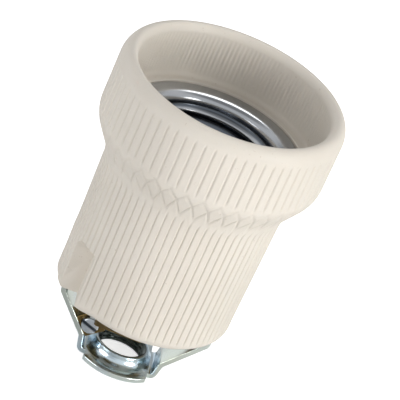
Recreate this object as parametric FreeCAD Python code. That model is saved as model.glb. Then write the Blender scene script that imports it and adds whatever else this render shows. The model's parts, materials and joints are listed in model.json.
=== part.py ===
"""Porcelain screw-shell lamp holder on a steel bracket. Millimetres, +Z towards the lamp.

The origin is on the lamp axis, on the underside of the bracket's base plate. The bracket's
arms lie along X, and the two terminals for the supply wires lie at -Y and +Y.
"""
import FreeCAD, Part
import math
import os

os.makedirs("parts", exist_ok=True)

V = FreeCAD.Vector
X = V(1, 0, 0)
Y = V(0, 1, 0)
Z = V(0, 0, 1)

# ---- porcelain body ----
total_height = 65.0
collar_r = 23.0
collar_draft = 0.35          # the collar is this much narrower at its foot
collar_wall = 3.3
collar_height = 16.3
cone_height = 4.4
neck_r = 18.4                # top of the narrow body
neck_draft = 0.7
rim_round_out = 2.0          # soft lip of the collar: across and down
rim_drop_out = 3.0
rim_drop_in = 1.8
foot_round = 2.8             # soft edge round the underside
shoulder_bevel = 0.9         # leg of the bevel at both ends of the cone
corner_runs = 4              # straight runs that make up a soft corner
underside_z = 13.6
floor_z = 25.5               # floor of the well that holds the screw shell
ledge_drop = 11.4            # from the rim down to the ledge round the shell's flange

# ---- ribs: grooves between flat lands ----
groove_count = 72
groove_width = 0.55
groove_depth = 0.3
collar_groove_top_gap = 3.2  # plain band below the rim
collar_groove_bottom_gap = 3.4
neck_groove_top_gap = 1.0
neck_groove_bottom_gap = 3.1

# ---- side notches, one at each end of the bracket ----
notch_wall_x = 12.0
notch_floor_y = 6.7
notch_top_z = 25.4
notch_corner_r = 3.0

# ---- Edison screw shell ----
thread_pitch = 3.629
thread_crest_r = 12.2        # inside, at the crests that hold the lamp
thread_depth = 1.1
shell_sheet = 0.4
shell_turns = 5
shell_flange_r = 17.4
shell_mouth_round = 1.6
shell_foot_lip = 1.2         # inward lip at the bottom
shell_well_gap = 0.6
flange_sink = 0.2            # flange lies this far below the ledge
shell_lug_width = 6.4

# ---- supply terminals ----
terminal_y = 8.2
terminal_width = 4.6
terminal_height = 4.4
terminal_long_end = 7.5      # from the fixing screw to the wire end
terminal_short_end = 2.5
terminal_chamfer = 0.4
terminal_pocket = 1.2        # depth of its pocket in the underside
wire_hole_r = 1.3
wire_hole_x = 3.9
wire_screw_drop = 1.6        # wire screw's axis below the underside
wire_screw_stand = 1.1       # the screw stands out of its block by this much

# ---- screws, nuts and washers ----
m3_r = 1.5
m3_head_r = 2.6
m3_head_height = 1.9
screw_slot = 0.8             # width and depth of a screwdriver slot
screw_end = 0.6              # a bracket screw shows this far past its nut
screw_tip_share = 0.4        # a wire screw's tip enters the wire way by the rest of its radius
m3_nut_width = 5.5
m3_nut_height = 2.4
washer_sheet = 0.7
washer_split = 0.4
washer_gap = 0.2             # between a washer's bore and its screw
washer_turn = 70.0           # degrees from +X to a washer's split
clearance_hole = 0.3         # radial play of a fixing screw in porcelain or sheet
running_gap = 0.05           # radial play of a screw that turns in its thread
seat_play = 0.25             # play round a block, nut or foot in its pocket

# ---- centre contact ----
leaf_sheet = 0.5
leaf_width = 5.0
leaf_foot_back = 1.9         # the foot runs on this far behind its screw
leaf_root_y = 5.3
leaf_slope = 45.0
leaf_overhang = 2.4          # the leaf runs on this far past the lamp axis
leaf_dome_r = 2.6
leaf_dome_height = 0.8
leaf_knuckle_gap = 0.06

# ---- bracket ----
strip_sheet = 1.0
strip_width = 8.6
plate_r = 9.2
step_x = 8.1                 # where the plate ends and the step starts, outside face
step_top_x = 8.85
step_top_z = 3.5
arm_top_x = 15.6             # outside face of the short upright under the porcelain
arm_top_z = 11.3
bend_r = 0.6                 # inside radius of the strip's bends
foot_sink = 1.0              # the feet lie in slots this deep
foot_end_x = 7.2
foot_corner_r = 1.6
nipple_r = 4.46              # minor radius of the M10x1 thread
nipple_wall = 1.14
nipple_height = 3.0
nipple_flare = 1.4           # fillet where the drawn collar meets the plate
bracket_screw_x = 10.6
bracket_nut_z = 19.4         # top of the trapped nut

# ---- earth terminal on the left arm ----
earth_up_arm = 1.5           # from the step up the arm to the screw's axis
earth_axis_height = 2.0      # screw's axis above the arm's inside face
earth_half = 2.3             # half its length along the arm
earth_height = 4.2
earth_front_y = -4.0
earth_depth = 4.4
earth_screw_r = 1.72
earth_spigot_r = 1.2
earth_rivet_r = 1.9
earth_rivet_head = 0.2       # the spigot is riveted nearly flush
earth_wire_depth = 2.9
earth_wire_r = 1.1
earth_wire_y = 0.5            # wire way's axis behind the block's middle
earth_screw_stand = 1.0
earth_slot_turn = 20.0       # degrees that the slot falls to the right

# ---- heights and radii that follow ----
collar_foot_r = collar_r - collar_draft
collar_in_r = collar_r - collar_wall
collar_foot_z = total_height - collar_height
neck_top_z = collar_foot_z - cone_height
neck_foot_r = neck_r - neck_draft
ledge_z = total_height - ledge_drop
flange_top_z = ledge_z - flange_sink
flange_seat_z = flange_top_z - shell_sheet
shell_root_r = thread_crest_r + thread_depth
well_r = shell_root_r + shell_sheet + shell_well_gap
terminal_top_z = underside_z + terminal_pocket
wire_screw_z = underside_z - wire_screw_drop
foot_top_z = underside_z + foot_sink
foot_bottom_z = foot_top_z - strip_sheet


def save(node, shape):
    shape.exportStep("parts/" + node + ".step")
    print(node, round(shape.Volume, 1), shape.isValid(), len(shape.Faces))


def line(a, b):
    return Part.LineSegment(V(*a), V(*b)).toShape()


def soft_corner(start, corner, end):
    """A quarter of an ellipse from start to end, bulging towards corner, in short straight runs."""
    a = V(*start)
    b = V(*end)
    centre = a + b - V(*corner)
    points = []
    for i in range(corner_runs + 1):
        angle = math.pi / 2 * i / corner_runs
        points.append(centre + (a - centre) * math.cos(angle) + (b - centre) * math.sin(angle))
    return [Part.LineSegment(points[i], points[i + 1]).toShape() for i in range(corner_runs)]


def along(a, b, distance):
    """The point at a distance from a on the way to b, in the XZ plane."""
    length = math.hypot(b[0] - a[0], b[2] - a[2])
    t = distance / length
    return (a[0] + (b[0] - a[0]) * t, 0, a[2] + (b[2] - a[2]) * t)


def revolve(edges):
    face = Part.Face(Part.Wire(edges))
    return face.revolve(V(0, 0, 0), Z, 360)


def half_turn(shape):
    """A copy turned half a turn about the lamp axis."""
    copy = shape.copy()
    copy.rotate(V(0, 0, 0), Z, 180)
    return copy


# ---------------------------------------------------------------- porcelain
def porcelain_profile():
    """Half section of the body, walked upwards outside and down again inside."""
    foot_in = (neck_foot_r - foot_round, 0, underside_z)
    foot_corner = (neck_foot_r, 0, underside_z)
    foot_up = (neck_foot_r, 0, underside_z + foot_round)
    neck_top = (neck_r, 0, neck_top_z)
    cone_top = (collar_foot_r, 0, collar_foot_z)
    lip_out = (collar_r, 0, total_height - rim_drop_out)
    crest_r = collar_r - rim_round_out
    crest = (crest_r, 0, total_height)
    lip_in = (collar_in_r, 0, total_height - rim_drop_in)
    ledge_out = (collar_in_r, 0, ledge_z)
    seat_r = shell_flange_r + seat_play
    ledge_in = (seat_r, 0, ledge_z)
    seat_out = (seat_r, 0, flange_seat_z)
    mouth_r = well_r + shell_mouth_round
    seat_in = (mouth_r, 0, flange_seat_z)
    well_top = (well_r, 0, flange_seat_z - shell_mouth_round)
    well_foot = (well_r, 0, floor_z)
    neck_below = along(neck_top, foot_up, shoulder_bevel)
    neck_above = along(neck_top, cone_top, shoulder_bevel)
    cone_below = along(cone_top, neck_top, shoulder_bevel)
    cone_above = along(cone_top, lip_out, shoulder_bevel)
    edges = [line((0, 0, underside_z), foot_in)]
    edges += soft_corner(foot_in, foot_corner, foot_up)
    edges += [
        line(foot_up, neck_below),
        line(neck_below, neck_above),
        line(neck_above, cone_below),
        line(cone_below, cone_above),
        line(cone_above, lip_out),
    ]
    edges += soft_corner(lip_out, (collar_r, 0, total_height), crest)
    edges += soft_corner(crest, (collar_in_r, 0, total_height), lip_in)
    edges += [
        line(lip_in, ledge_out),
        line(ledge_out, ledge_in),
        line(ledge_in, seat_out),
        line(seat_out, seat_in),
        line(seat_in, well_top),
        line(well_top, well_foot),
        line(well_foot, (0, 0, floor_z)),
        line((0, 0, floor_z), (0, 0, underside_z)),
    ]
    return edges


def on_wall(radius, turn, z):
    """A point on the body, by its radius, its turn from +X in degrees and its height."""
    angle = math.radians(turn)
    return V(radius * math.cos(angle), radius * math.sin(angle), z)


def vee_groove(low, high, width, depth):
    """A V-shaped cutter from a low to a high point on the wall."""
    way = high - low
    middle = (low + high) * 0.5
    round_way = Z.cross(V(middle.x, middle.y, 0))
    side = round_way - way * (round_way.dot(way) / way.dot(way))
    side.normalize()
    out = side.cross(way)
    out.normalize()
    proud = 0.2
    spread = width / 2 * (1 + proud / depth)
    bottom = low - out * depth
    left = low + out * proud - side * spread
    right = low + out * proud + side * spread
    face = Part.Face(Part.makePolygon([bottom, left, right, bottom]))
    return face.extrude(way)


def wall_r(z, low, high):
    """Radius at height z of the straight wall between two (radius, height) points."""
    return low[0] + (high[0] - low[0]) * (z - low[1]) / (high[1] - low[1])


def groove_set(low, high, bottom_gap, top_gap):
    """Grooves all round a straight wall, with a plain band left at each end."""
    z0 = low[1] + bottom_gap
    z1 = high[1] - top_gap
    cutters = []
    for i in range(groove_count):
        turn = 360 * (i + 0.5) / groove_count
        start = on_wall(wall_r(z0, low, high), turn, z0)
        end = on_wall(wall_r(z1, low, high), turn, z1)
        cutters.append(vee_groove(start, end, groove_width, groove_depth))
    return cutters


def notch():
    """The flat-floored notch beside the bracket's left arm, open below."""
    reach = collar_r + 1
    low = underside_z - 1
    block = Part.makeBox(reach, reach, notch_top_z - low, V(-notch_wall_x - reach, -notch_floor_y - reach, low))
    top_edges = []
    for edge in block.Edges:
        mid = edge.CenterOfMass
        at_wall = abs(mid.x + notch_wall_x) < 0.01
        at_floor = abs(mid.y + notch_floor_y) < 0.01
        at_top = abs(mid.z - notch_top_z) < 0.01
        if at_top and (at_wall or at_floor):
            top_edges.append(edge)
    return block.makeFillet(notch_corner_r, top_edges)


def foot_slot():
    """Slot in the underside for the bracket's right foot and the top of its arm."""
    inner = foot_end_x - seat_play
    width = strip_width + 2 * seat_play
    return Part.makeBox(neck_r, width, foot_sink + 1, V(inner, -width / 2, underside_z - 1))


def terminal_pocket_cut():
    """Pocket in the underside that keeps the -Y terminal from turning."""
    length = terminal_long_end + terminal_short_end + 2 * seat_play
    width = terminal_width + 2 * seat_play
    corner = V(-terminal_long_end - seat_play, -terminal_y - width / 2, underside_z - 1)
    return Part.makeBox(length, width, terminal_pocket + 1, corner)


def screw_way(x, y, low, high, radius):
    return Part.makeCylinder(radius, high - low, V(x, y, low), Z)


def hex_prism(width, height, base):
    corner_r = width / math.sqrt(3)
    points = []
    for i in range(7):
        angle = math.radians(60 * i + 30)
        points.append(base + V(corner_r * math.cos(angle), corner_r * math.sin(angle), 0))
    return Part.Face(Part.makePolygon(points)).extrude(Z * height)


def porcelain_body():
    body = revolve(porcelain_profile())
    cutters = groove_set((neck_foot_r, underside_z + foot_round), (neck_r, neck_top_z),
                         neck_groove_bottom_gap - foot_round, neck_groove_top_gap)
    cutters += groove_set((collar_foot_r, collar_foot_z), (collar_r, total_height - rim_drop_out),
                          collar_groove_bottom_gap, collar_groove_top_gap - rim_drop_out)
    side = [notch(), foot_slot(), terminal_pocket_cut()]
    side.append(screw_way(0, -terminal_y, underside_z, floor_z + 1, m3_r + clearance_hole))
    side.append(screw_way(bracket_screw_x, 0, underside_z, floor_z + 1, m3_r + clearance_hole))
    nut_seat = V(bracket_screw_x, 0, bracket_nut_z - m3_nut_height)
    side.append(hex_prism(m3_nut_width + 2 * seat_play, floor_z + 1 - nut_seat.z, nut_seat))
    body = body.cut(Part.makeCompound(cutters))
    for cutter in side:
        body = body.cut(cutter)
        body = body.cut(half_turn(cutter))
    return body.Solids[0]


# ---------------------------------------------------------------- screw shell
def rolled_line(offset, z_from, z_to):
    """The rolled wall's line from one height to another, root to crest to root."""
    crest = thread_crest_r + offset
    root = shell_root_r + offset
    step = (z_to - z_from) / (2 * shell_turns)
    edges = []
    for i in range(shell_turns):
        low = z_from + 2 * i * step
        edges.append(line((root, 0, low), (crest, 0, low + step)))
        edges.append(line((crest, 0, low + step), (root, 0, low + 2 * step)))
    return edges


def screw_shell():
    """Rolled tube with a flange and rounded mouth above, and a lip with one lug below."""
    foot_z = floor_z
    outer = shell_root_r + shell_sheet
    mouth = shell_mouth_round
    roll_top = flange_seat_z - mouth
    roll_foot = roll_top - shell_turns * thread_pitch
    inner_foot = foot_z + shell_sheet
    lip_r = shell_root_r - shell_foot_lip
    under_mouth = (outer + mouth, 0, flange_seat_z)
    over_mouth = (outer + mouth, 0, flange_top_z)
    edges = [line((outer, 0, foot_z), (outer, 0, roll_foot))]
    edges += rolled_line(shell_sheet, roll_foot, roll_top)
    edges += soft_corner((outer, 0, roll_top), (outer, 0, flange_seat_z), under_mouth)
    edges.append(line(under_mouth, (shell_flange_r, 0, flange_seat_z)))
    edges.append(line((shell_flange_r, 0, flange_seat_z), (shell_flange_r, 0, flange_top_z)))
    edges.append(line((shell_flange_r, 0, flange_top_z), over_mouth))
    edges += soft_corner(over_mouth, (shell_root_r, 0, flange_top_z), (shell_root_r, 0, roll_top))
    edges += rolled_line(0, roll_top, roll_foot)
    edges.append(line((shell_root_r, 0, roll_foot), (shell_root_r, 0, inner_foot)))
    edges.append(line((shell_root_r, 0, inner_foot), (lip_r, 0, inner_foot)))
    edges.append(line((lip_r, 0, inner_foot), (lip_r, 0, foot_z)))
    edges.append(line((lip_r, 0, foot_z), (outer, 0, foot_z)))
    shell = revolve(edges)
    lug_end = terminal_y - m3_head_r - seat_play
    lug = Part.makeBox(shell_lug_width, lip_r - lug_end + shell_sheet, shell_sheet,
                       V(-shell_lug_width / 2, -lip_r - shell_sheet, foot_z))
    shell = shell.fuse(lug).removeSplitter()
    return shell.cut(screw_way(0, -terminal_y, foot_z - 1, foot_z + 1, m3_r + clearance_hole))


# ---------------------------------------------------------------- screws, nuts, washers
def slot_cutter(top, way, radius, width):
    """Cutter for a screwdriver slot as deep as it is wide, across an end that faces way."""
    across = X if abs(way.x) < 0.9 else Y
    side = way.cross(across)
    corner = top - way * width - across * (radius + 1) - side * (width / 2)
    far = corner + across * (2 * radius + 2)
    face = Part.Face(Part.makePolygon([corner, far, far + side * width, corner + side * width, corner]))
    return face.extrude(way * (width + 1))


def slotted_screw(tip, way, length):
    """A slotted cheese-head M3 screw: its tip, the way from tip to head, its shank length."""
    seat = tip + way * length
    top = seat + way * m3_head_height
    screw = Part.makeCylinder(m3_r, length, tip, way)
    screw = screw.fuse(Part.makeCylinder(m3_head_r, m3_head_height, seat, way)).removeSplitter()
    return screw.cut(slot_cutter(top, way, m3_head_r, screw_slot))


def spring_washer(x, y, z):
    """A split ring under a screw head, closed flat."""
    washer = screw_way(0, 0, 0, washer_sheet, m3_head_r)
    washer = washer.cut(screw_way(0, 0, 0, washer_sheet, m3_r + washer_gap))
    split = Part.makeBox(m3_head_r + 1, washer_split, washer_sheet, V(0, -washer_split / 2, 0))
    split.rotate(V(0, 0, 0), Z, washer_turn)
    washer = washer.cut(split)
    washer.translate(V(x, y, z))
    return washer


def hex_nut():
    base = V(bracket_screw_x, 0, bracket_nut_z - m3_nut_height)
    nut = hex_prism(m3_nut_width, m3_nut_height, base)
    return nut.cut(screw_way(base.x, 0, base.z, bracket_nut_z, m3_r))


# ---------------------------------------------------------------- supply terminals
def terminal_block():
    """Brass block at -Y: fixing screw through it, wire way and wire screw at its -X end."""
    size_x = terminal_long_end + terminal_short_end
    corner = V(-terminal_long_end, -terminal_y - terminal_width / 2, terminal_top_z - terminal_height)
    block = Part.makeBox(size_x, terminal_width, terminal_height, corner)
    upright = [edge for edge in block.Edges if abs(edge.tangentAt(edge.FirstParameter).z) > 0.9]
    block = block.makeChamfer(terminal_chamfer, upright)
    block = block.cut(screw_way(0, -terminal_y, corner.z, terminal_top_z, m3_r))
    wire_way = Part.makeCylinder(wire_hole_r, terminal_width, V(-wire_hole_x, corner.y, wire_screw_z), Y)
    screw_hole = Part.makeCylinder(m3_r + running_gap, terminal_long_end - wire_hole_x,
                                   V(-terminal_long_end, -terminal_y, wire_screw_z), X)
    return block.cut(wire_way).cut(screw_hole)


def terminal_wire_screw():
    """Headless slotted screw that presses the wire, standing out of the block's end."""
    out_end = V(-terminal_long_end - wire_screw_stand, -terminal_y, wire_screw_z)
    length = terminal_long_end + wire_screw_stand - wire_hole_x - wire_hole_r * screw_tip_share
    screw = Part.makeCylinder(m3_r, length, out_end, X)
    return screw.cut(slot_cutter(out_end, X * -1, m3_r, screw_slot))


def fixing_screw(seat_z):
    """Screw at -Y from the well's floor down into the terminal block."""
    tip = V(0, -terminal_y, terminal_top_z - terminal_height)
    return slotted_screw(tip, Z, seat_z - tip.z)


# ---------------------------------------------------------------- centre contact
def contact_foot():
    """The flat end of the contact strip, under its screw at +Y."""
    front = leaf_root_y + leaf_sheet / 2 + leaf_knuckle_gap
    back = terminal_y + leaf_foot_back
    foot = Part.makeBox(leaf_width, back - front, leaf_sheet, V(-leaf_width / 2, front, floor_z))
    return foot.cut(screw_way(0, terminal_y, floor_z, floor_z + leaf_sheet, m3_r + clearance_hole))


def contact_leaf():
    """The springy end of the strip: it rises from its root to a dome on the lamp axis."""
    half = leaf_sheet / 2
    root = V(0, leaf_root_y, floor_z + half + leaf_knuckle_gap)
    slope = math.radians(leaf_slope)
    rise = V(0, -math.cos(slope), math.sin(slope))
    up = V(0, math.sin(slope), math.cos(slope))
    bend = root + rise * ((leaf_root_y - leaf_dome_r) / math.cos(slope))
    tip = V(0, -leaf_overhang, bend.z)
    miter = Y * (half * math.tan(slope / 2))
    points = [root - up * half, bend - Z * half - miter, tip - Z * half,
              tip + Z * half, bend + Z * half + miter, root + up * half]
    blade = Part.Face(Part.makePolygon(points + [points[0]])).extrude(X * leaf_width)
    knuckle = Part.makeCylinder(half, leaf_width, root, X)
    leaf = blade.fuse(knuckle).removeSplitter()
    leaf.translate(X * (-leaf_width / 2))
    ball_r = (leaf_dome_r ** 2 + leaf_dome_height ** 2) / (2 * leaf_dome_height)
    centre = V(0, 0, tip.z + half + leaf_dome_height - ball_r)
    tall = ball_r + leaf_sheet
    cap = Part.makeSphere(ball_r, centre).common(screw_way(0, 0, tip.z, tip.z + tall, ball_r))
    hollow = Part.makeSphere(ball_r - leaf_sheet, centre).common(screw_way(0, 0, tip.z - half, tip.z + tall, ball_r))
    return leaf.fuse(cap).cut(hollow).removeSplitter()


# ---------------------------------------------------------------- bracket
def unit(vector):
    copy = V(vector)
    copy.normalize()
    return copy


def left_of(way):
    """The way square to a direction in the XZ plane, on its left."""
    return V(-way.z, 0, way.x)


def rounded_path(points, radii):
    """Straight runs through the points, with an arc of its own radius at each inner point."""
    edges = []
    start = points[0]
    for i in range(1, len(points) - 1):
        back = unit(points[i - 1] - points[i])
        ahead = unit(points[i + 1] - points[i])
        half = (math.pi - back.getAngle(ahead)) / 2
        reach = radii[i] * math.tan(half)
        enter = points[i] + back * reach
        leave = points[i] + ahead * reach
        middle = points[i] + unit(back + ahead) * (radii[i] / math.cos(half) - radii[i])
        edges.append(Part.LineSegment(start, enter).toShape())
        edges.append(Part.Arc(enter, middle, leave).toShape())
        start = leave
    edges.append(Part.LineSegment(start, points[-1]).toShape())
    return edges


def bent_strip(points, width):
    """Sheet strip bent along its outside points, with the sheet on their left."""
    inside = [points[0] + left_of(unit(points[1] - points[0])) * strip_sheet]
    radii_out = [0]
    radii_in = [0]
    for i in range(1, len(points) - 1):
        first = unit(points[i] - points[i - 1])
        second = unit(points[i + 1] - points[i])
        middle = unit(left_of(first) + left_of(second))
        inside.append(points[i] + middle * (strip_sheet / middle.dot(left_of(first))))
        closes = first.x * second.z - first.z * second.x > 0
        radii_out.append(bend_r + strip_sheet if closes else bend_r)
        radii_in.append(bend_r if closes else bend_r + strip_sheet)
    inside.append(points[-1] + left_of(unit(points[-1] - points[-2])) * strip_sheet)
    edges = rounded_path(points, radii_out) + rounded_path(inside, radii_in)
    edges.append(Part.LineSegment(points[0], inside[0]).toShape())
    edges.append(Part.LineSegment(points[-1], inside[-1]).toShape())
    face = Part.Face(Part.Wire(Part.__sortEdges__(edges)))
    strip = face.extrude(Y * width)
    strip.translate(Y * (-width / 2))
    return strip


def bracket_arm():
    """The right arm: half the plate's strip, the step, the slanting arm and its foot."""
    points = [V(0, 0, 0), V(step_x, 0, 0), V(step_top_x, 0, step_top_z), V(arm_top_x, 0, arm_top_z),
              V(arm_top_x, 0, foot_top_z), V(foot_end_x, 0, foot_top_z)]
    strip = bent_strip(points, strip_width)
    ends = [edge for edge in strip.Edges
            if abs(edge.CenterOfMass.x - foot_end_x) < 0.01 and abs(edge.tangentAt(edge.FirstParameter).z) > 0.9]
    return strip.makeFillet(foot_corner_r, ends)


def nipple_collar():
    """Collar drawn up from the plate round the nipple's thread, flared where it meets the plate."""
    outer = nipple_r + nipple_wall
    flare_z = strip_sheet + nipple_flare
    edges = [
        line((0, 0, 0), (outer + nipple_flare, 0, 0)),
        line((outer + nipple_flare, 0, 0), (outer + nipple_flare, 0, strip_sheet)),
    ]
    edges += soft_corner((outer + nipple_flare, 0, strip_sheet), (outer, 0, strip_sheet), (outer, 0, flare_z))
    edges += [
        line((outer, 0, flare_z), (outer, 0, nipple_height)),
        line((outer, 0, nipple_height), (0, 0, nipple_height)),
        line((0, 0, nipple_height), (0, 0, 0)),
    ]
    return revolve(edges)


def bracket():
    plate = Part.makeCylinder(plate_r, strip_sheet)
    flat_x = step_x - bend_r - strip_sheet
    plate = plate.common(Part.makeBox(2 * flat_x, 2 * plate_r, strip_sheet, V(-flat_x, -plate_r, 0)))
    arm = bracket_arm()
    body = plate.fuse([arm, half_turn(arm), nipple_collar()]).removeSplitter()
    body = body.cut(screw_way(0, 0, -1, nipple_height + 1, nipple_r))
    foot_hole = screw_way(bracket_screw_x, 0, foot_bottom_z - 1, foot_top_z + 1, m3_r + clearance_hole)
    body = body.cut(foot_hole).cut(half_turn(foot_hole))
    spigot = earth_round(earth_spigot_r, -strip_sheet - 1, 1)
    return body.cut(spigot)


# ---------------------------------------------------------------- earth terminal
def earth_ways():
    """Up the left arm, square to its inside face, and the block's foot on that face."""
    up_arm = unit(V(step_top_x - arm_top_x, 0, arm_top_z - step_top_z))
    off_arm = V(up_arm.z, 0, -up_arm.x)
    step_top = V(-step_top_x, 0, step_top_z)
    centre_y = earth_front_y + earth_depth / 2
    foot = step_top + up_arm * earth_up_arm + off_arm * strip_sheet + Y * centre_y
    return up_arm, off_arm, foot


def earth_round(radius, low, high, shift_y=0.0):
    """A cylinder square to the arm through the block's middle, between two heights above it."""
    up_arm, off_arm, foot = earth_ways()
    return Part.makeCylinder(radius, high - low, foot + off_arm * low + Y * shift_y, off_arm)


def earth_terminal():
    """Brass block on the left arm, its spigot riveted over on the arm's outside."""
    up_arm, off_arm, foot = earth_ways()
    corner = foot - up_arm * earth_half - Y * (earth_depth / 2)
    points = [corner, corner + up_arm * 2 * earth_half, corner + up_arm * 2 * earth_half + Y * earth_depth,
              corner + Y * earth_depth, corner]
    block = Part.Face(Part.makePolygon(points)).extrude(off_arm * earth_height)
    block = block.fuse(earth_round(earth_spigot_r, -strip_sheet, 0))
    block = block.fuse(earth_round(earth_rivet_r, -strip_sheet - earth_rivet_head, -strip_sheet)).removeSplitter()
    block = block.cut(earth_round(earth_wire_r, earth_height - earth_wire_depth, earth_height, earth_wire_y))
    return block.cut(earth_screw_rod(earth_screw_r + running_gap, 0))


def earth_screw_rod(radius, proud):
    """Rod along the earth screw's axis, from its outer end to the wire way."""
    up_arm, off_arm, foot = earth_ways()
    front = foot + off_arm * earth_axis_height - Y * (earth_depth / 2 + proud)
    reach = earth_depth / 2 + earth_wire_y - earth_wire_r * screw_tip_share
    return Part.makeCylinder(radius, reach + proud, front, Y)


def earth_wire_screw():
    up_arm, off_arm, foot = earth_ways()
    screw = earth_screw_rod(earth_screw_r, earth_screw_stand)
    front = foot + off_arm * earth_axis_height - Y * (earth_depth / 2 + earth_screw_stand)
    slot = slot_cutter(front, Y * -1, earth_screw_r, screw_slot)
    slot.rotate(front, Y, earth_slot_turn)
    return screw.cut(slot)


# ---------------------------------------------------------------- the whole holder
def bracket_screw():
    """Screw from below through washer and foot up into the trapped nut."""
    tip = V(bracket_screw_x, 0, bracket_nut_z + screw_end)
    seat_z = foot_bottom_z - washer_sheet
    return slotted_screw(tip, Z * -1, tip.z - seat_z)


def write_all():
    save("porcelain_body", porcelain_body())
    save("screw_shell", screw_shell())
    save("shell_screw", fixing_screw(floor_z + shell_sheet + washer_sheet))
    save("shell_washer", spring_washer(0, -terminal_y, floor_z + shell_sheet))
    save("contact_foot", contact_foot())
    save("contact_leaf", contact_leaf())
    save("contact_screw", half_turn(fixing_screw(floor_z + leaf_sheet + washer_sheet)))
    save("contact_washer", spring_washer(0, terminal_y, floor_z + leaf_sheet))
    save("terminal_neutral", terminal_block())
    save("terminal_live", half_turn(terminal_block()))
    save("wire_screw_neutral", terminal_wire_screw())
    save("wire_screw_live", half_turn(terminal_wire_screw()))
    save("bracket", bracket())
    save("earth_terminal", earth_terminal())
    save("wire_screw_earth", earth_wire_screw())
    washer_z = foot_bottom_z - washer_sheet
    right = {"bracket_screw": bracket_screw(), "bracket_nut": hex_nut(),
             "bracket_washer": spring_washer(bracket_screw_x, 0, washer_z)}
    for name, shape in right.items():
        save(name + "_right", shape)
        save(name + "_left", half_turn(shape))


write_all()
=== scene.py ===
# %% [markdown]
# # A porcelain lamp holder on a steel bracket
#
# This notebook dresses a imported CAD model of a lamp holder: a ribbed porcelain body, a rolled metal shell
# that takes the lamp's screw cap, and a bent steel bracket with a threaded collar. Blender works in metres.
# The product is drawn in millimetres, so we write those and multiply by MM.

# %% Tools and the frame
import bmesh
import bpy
import json
import math
import numpy as np
from mathutils import Matrix, Vector


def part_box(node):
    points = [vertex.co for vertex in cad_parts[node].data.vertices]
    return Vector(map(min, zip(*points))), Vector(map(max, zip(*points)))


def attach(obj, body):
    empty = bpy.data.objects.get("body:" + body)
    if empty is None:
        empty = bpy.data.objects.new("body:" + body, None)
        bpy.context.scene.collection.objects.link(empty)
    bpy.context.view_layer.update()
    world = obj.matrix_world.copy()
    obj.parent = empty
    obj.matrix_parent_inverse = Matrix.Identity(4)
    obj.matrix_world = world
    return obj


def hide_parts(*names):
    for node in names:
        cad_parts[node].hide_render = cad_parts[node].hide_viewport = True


MM = 0.001
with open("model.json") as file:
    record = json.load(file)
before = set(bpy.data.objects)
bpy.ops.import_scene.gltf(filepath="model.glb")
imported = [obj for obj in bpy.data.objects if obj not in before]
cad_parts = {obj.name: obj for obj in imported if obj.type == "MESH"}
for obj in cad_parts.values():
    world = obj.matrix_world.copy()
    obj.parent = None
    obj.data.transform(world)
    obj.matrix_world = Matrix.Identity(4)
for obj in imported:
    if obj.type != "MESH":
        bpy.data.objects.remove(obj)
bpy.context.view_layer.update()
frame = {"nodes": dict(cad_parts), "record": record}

# %% [markdown]
# ## Sizes that the frame gives
#
# Every new piece has to sit exactly where its CAD node sits, so we read the outer sizes from the nodes'
# boxes. The record says which body carries each node and which material slot it has.

# %% Read the outer sizes
body_low, body_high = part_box("porcelain_body")
shell_low, shell_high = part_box("screw_shell")
strip_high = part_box("bracket")[1]
RIM_Z = body_high[2] / MM
RIM_R = body_high[0] / MM
FOOT_Z = body_low[2] / MM
FLANGE_Z = shell_high[2] / MM
FLANGE_R = shell_high[0] / MM
WELL_Z = shell_low[2] / MM
STRIP_X = strip_high[0] / MM
STRIP_Z = strip_high[2] / MM
record = frame["record"]
body_of = {node: body for body, nodes in record["behaviour"]["bodies"].items() for node in nodes}
slot_of = {part["node"]: part["material_slot"] for part in record["subparts"]}
print("rim at", round(RIM_Z, 2), "radius", round(RIM_R, 2), "underside at", round(FOOT_Z, 2))
print("flange at", round(FLANGE_Z, 2), "radius", round(FLANGE_R, 2), "well floor at", round(WELL_Z, 2))

# %% [markdown]
# ## Formulas as nodes
#
# A node tree is easier to read as a formula than as a list of nodes. `Term` wraps a socket, and each of
# Python's operators on it adds one Math node. It serves geometry nodes and shader nodes alike.

# %% A number in a node tree
def plug(tree, entry, value):
    """Links a Term or a socket to an input, or sets a plain value there."""
    if isinstance(value, Term):
        value = value.socket
    if isinstance(value, bpy.types.NodeSocket):
        tree.links.new(value, entry)
    else:
        entry.default_value = value


def feed(tree, node, **values):
    """Plugs values into a node's inputs, by the inputs' names with _ for each space."""
    for name, value in values.items():
        plug(tree, node.inputs[name.replace("_", " ")], value)
    return node


def add_node(tree, kind, **values):
    return feed(tree, tree.nodes.new(kind), **values)


class Term:
    def __init__(self, tree, socket):
        self.tree = tree
        self.socket = socket

    def math(self, operation, *others):
        node = add_node(self.tree, "ShaderNodeMath")
        node.operation = operation
        for entry, value in zip(node.inputs, (self,) + others):
            plug(self.tree, entry, value)
        return Term(self.tree, node.outputs[0])

    def __add__(self, other):
        return self.math("ADD", other)

    def __sub__(self, other):
        return self.math("SUBTRACT", other)

    def __mul__(self, other):
        return self.math("MULTIPLY", other)

    def __truediv__(self, other):
        return self.math("DIVIDE", other)

    def flipped(self):
        return self * -1.0 + 1.0

    def smooth(self, start, end):
        """0 at start and 1 at end, with soft ends. Start may be the larger, and either may be a Term."""
        node = add_node(self.tree, "ShaderNodeMapRange", Value=self, From_Min=start, From_Max=end)
        node.interpolation_type = "SMOOTHSTEP"
        return Term(self.tree, node.outputs["Result"])


def window(value, low, high, soft):
    """1 between low and high, with a soft step of its own width at each end."""
    return value.smooth(low - soft, low + soft) * value.smooth(high + soft, high - soft)


def axes(tree, place):
    """The three numbers of a vector socket."""
    split = add_node(tree, "ShaderNodeSeparateXYZ", Vector=place)
    return [Term(tree, split.outputs[i]) for i in range(3)]


def bearing_of(x, y):
    """Degrees from the front, which is -Y, with the right-hand side positive."""
    return x.math("ARCTAN2", y * -1.0) * (180 / math.pi)


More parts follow.
